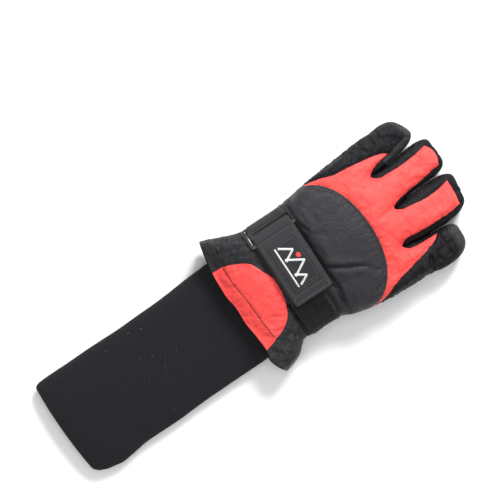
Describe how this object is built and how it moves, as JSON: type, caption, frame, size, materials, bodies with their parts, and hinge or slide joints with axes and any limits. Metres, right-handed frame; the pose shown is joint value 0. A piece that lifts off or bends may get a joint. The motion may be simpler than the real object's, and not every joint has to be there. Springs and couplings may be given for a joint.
{
  "type": "ski glove",
  "caption": "Padded ski glove with jointed finger stalls, a folded thumb, a flared gauntlet with a buckled wrist strap, and a long rib-knit inner cuff.",
  "frame": {"origin": "centre of the bounding box's underside, on the plane that the glove lies on", "axes": "+Y from the open cuff to the fingertips, +X to the little finger's side, +Z out of the back of the hand"},
  "size_m": [0.1375, 0.4043, 0.0516],
  "materials": {
    "red_shell": "matte woven nylon, coral red",
    "black_shell": "matte woven nylon, black",
    "grey_ripstop": "fine ripstop weave, dark grey",
    "leather": "pebbled grain, satin, black",
    "smooth_grey": "smooth suede-like microfibre, dark grey",
    "webbing": "woven webbing, dark grey",
    "loop_pile": "fuzzy loop pile, black",
    "hook_tape": "moulded hook tape, black",
    "gloss_black": "glossy moulded plastic, black",
    "rib_knit": "one-by-one rib knit, slightly fuzzy, black",
    "wadding": "off-white polyester wadding",
    "fleece": "brushed fleece, charcoal"
  },
  "bodies": {
    "hand": {"gauntlet_hem_binding": "black_shell", "gauntlet_lining": "fleece", "gauntlet_patch": "red_shell", "gauntlet_shell": "black_shell", "hand_back_panel": "red_shell", "hand_index_side_panel": "black_shell", "hand_insulation": "wadding", "hand_lining": "fleece", "hand_little_side_panel": "black_shell", "knit_cuff_inner_layer": "rib_knit", "knit_cuff_outer_layer": "rib_knit", "knuckle_cover": "grey_ripstop", "knuckle_foam": "wadding", "loop_pad": "loop_pile", "palm_panel": "black_shell", "palm_patch": "leather", "strap_anchor": "webbing", "wrist_elastic": "webbing"},
    "index_base": {"index_back_panel_base": "red_shell", "index_underside_base": "black_shell", "index_liner_base": "fleece"},
    "index_tip": {"index_back_panel_tip": "red_shell", "index_gusset_tip": "black_shell", "index_palm_panel_tip": "leather", "index_liner_tip": "fleece"},
    "middle_base": {"middle_back_panel_base": "red_shell", "middle_underside_base": "black_shell", "middle_liner_base": "fleece"},
    "middle_tip": {"middle_back_panel_tip": "red_shell", "middle_gusset_tip": "black_shell", "middle_palm_panel_tip": "leather", "middle_liner_tip": "fleece"},
    "ring_base": {"ring_back_panel_base": "red_shell", "ring_underside_base": "black_shell", "ring_liner_base": "fleece"},
    "ring_tip": {"ring_back_panel_tip": "red_shell", "ring_gusset_tip": "black_shell", "ring_palm_panel_tip": "black_shell", "ring_liner_tip": "fleece"},
    "little_base": {"little_back_panel_base": "red_shell", "little_underside_base": "black_shell", "little_liner_base": "fleece"},
    "little_tip": {"little_back_panel_tip": "red_shell", "little_gusset_tip": "black_shell", "little_palm_panel_tip": "black_shell", "little_liner_tip": "fleece"},
    "thumb": {"thumb_wipe_panel": "smooth_grey", "thumb_palm_panel": "leather", "thumb_liner": "fleece"},
    "buckle": {"buckle_ring": "gloss_black"},
    "strap": {"strap_tab": "webbing", "hook_patch": "hook_tape", "label_patch": "black_shell"}
  },
  "joints": [
    {"name": "index_knuckle", "type": "hinge", "parent": "hand", "child": "index_base", "pos_m": [-0.04662, 0.131, 0.01396], "axis": [-1, 0, 0], "range_deg": [0, 75]},
    {"name": "index_middle_joint", "type": "hinge", "parent": "index_base", "child": "index_tip", "pos_m": [-0.04915, 0.163, 0.00648], "axis": [-1, 0, 0], "range_deg": [0, 75]},
    {"name": "middle_knuckle", "type": "hinge", "parent": "hand", "child": "middle_base", "pos_m": [-0.01274, 0.131, 0.01303], "axis": [-1, 0, 0], "range_deg": [0, 75]},
    {"name": "middle_middle_joint", "type": "hinge", "parent": "middle_base", "child": "middle_tip", "pos_m": [-0.01596, 0.163, 0.00625], "axis": [-1, 0, 0], "range_deg": [0, 75]},
    {"name": "ring_knuckle", "type": "hinge", "parent": "hand", "child": "ring_base", "pos_m": [0.01945, 0.131, 0.00654], "axis": [-1, 0, 0], "range_deg": [0, 75]},
    {"name": "ring_middle_joint", "type": "hinge", "parent": "ring_base", "child": "ring_tip", "pos_m": [0.01974, 0.163, 0.00255], "axis": [-1, 0, 0], "range_deg": [0, 75]},
    {"name": "little_knuckle", "type": "hinge", "parent": "hand", "child": "little_base", "pos_m": [0.05078, 0.131, 0.00263], "axis": [-1, 0, 0], "range_deg": [0, 75]},
    {"name": "little_middle_joint", "type": "hinge", "parent": "little_base", "child": "little_tip", "pos_m": [0.05444, 0.163, 0.00114], "axis": [-1, 0, 0], "range_deg": [0, 75]},
    {"name": "thumb_swing", "type": "hinge", "parent": "hand", "child": "thumb", "pos_m": [-0.036, 0.062, 0.0138], "axis": [0, 0, 1], "range_deg": [0, 50]},
    {"name": "buckle_swivel", "type": "hinge", "parent": "hand", "child": "buckle", "pos_m": [-0.051, 0.043, 0.03621], "axis": [0, -0.9975, -0.0711], "range_deg": [0, 40]},
    {"name": "strap_peel", "type": "hinge", "parent": "buckle", "child": "strap", "pos_m": [-0.0445, 0.043, 0.04363], "axis": [0, -0.9967, -0.0811], "range_deg": [0, 130]}
  ]
}
